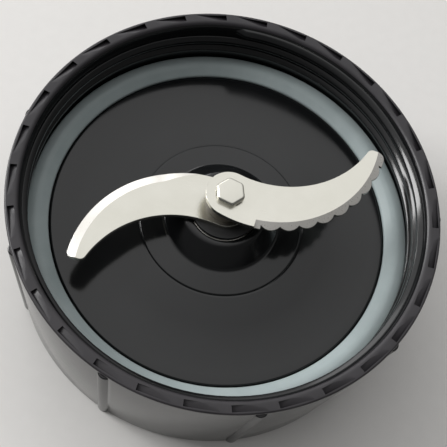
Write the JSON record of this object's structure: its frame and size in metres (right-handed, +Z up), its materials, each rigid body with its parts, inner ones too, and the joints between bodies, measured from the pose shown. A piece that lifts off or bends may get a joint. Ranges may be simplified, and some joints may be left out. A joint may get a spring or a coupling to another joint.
{
  "type": "blender blade base",
  "caption": "Screw-on blender blade base: a black threaded cup with a sealing gasket, a bearing hub and two bent sickle blades on a spindle driven from below.",
  "frame": {"origin": "centre of the foot ring, on the surface that the base stands on", "axes": "+Z up along the spindle, from the foot to the blade nut; +X along the root of the serrated blade"},
  "size_m": [0.0945, 0.0942, 0.04],
  "materials": {
    "black_abs": "moulded, semi-gloss",
    "black_nylon": "moulded, matt",
    "natural_nylon": "moulded, matt",
    "grey_silicone": "moulded, satin",
    "black_rubber": "moulded, matt",
    "blade_steel": "ground and polished",
    "turned_steel": "turned",
    "sintered_bronze": "sintered, oiled"
  },
  "bodies": {
    "base": {"base_cup": "black_abs", "sealing_gasket": "grey_silicone", "bearing_housing": "turned_steel", "upper_bush": "sintered_bronze", "lower_bush": "sintered_bronze", "shaft_lip_seal": "black_rubber", "housing_seal_ring": "black_rubber", "housing_washer": "turned_steel", "housing_nut": "turned_steel"},
    "blade_rotor": {"blade_nut": "turned_steel", "blade_spacer": "turned_steel", "coupling_insert": "turned_steel", "drive_coupling": "black_nylon", "drive_shaft": "turned_steel", "lower_blade": "blade_steel", "lower_thrust_washer": "natural_nylon", "retaining_ring": "turned_steel", "slinger_washer": "black_nylon", "upper_blade": "blade_steel", "upper_thrust_washer": "natural_nylon"}
  },
  "joints": [
    {"name": "blade_spin", "type": "hinge", "parent": "base", "child": "blade_rotor", "pos_m": [0, 0, 0.0304], "axis": [0, 0, 1], "continuous": true}
  ]
}
